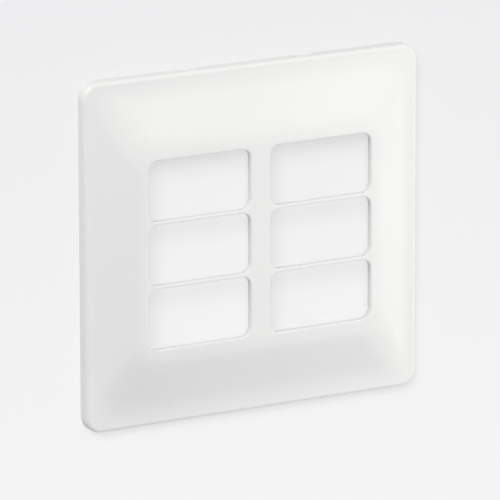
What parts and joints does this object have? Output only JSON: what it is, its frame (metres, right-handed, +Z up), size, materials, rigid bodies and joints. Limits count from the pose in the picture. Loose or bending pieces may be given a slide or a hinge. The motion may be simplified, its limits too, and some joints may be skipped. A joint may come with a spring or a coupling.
{
  "type": "switch cover plate",
  "caption": "Moulded wall cover plate with a softly flared face, rectangular windows for switch modules, a ledge round its edge, and ribs and snap hooks behind.",
  "frame": {"origin": "middle of the plate's back, on the plane of the wall it is fixed to", "axes": "+X to the right seen from the front, +Y into the wall, +Z up as fixed on the wall"},
  "size_m": [0.126, 0.0098, 0.1194],
  "materials": {
    "cover": "satin moulded"
  },
  "bodies": {
    "root": {"cover_plate": "cover"}
  },
  "joints": []
}
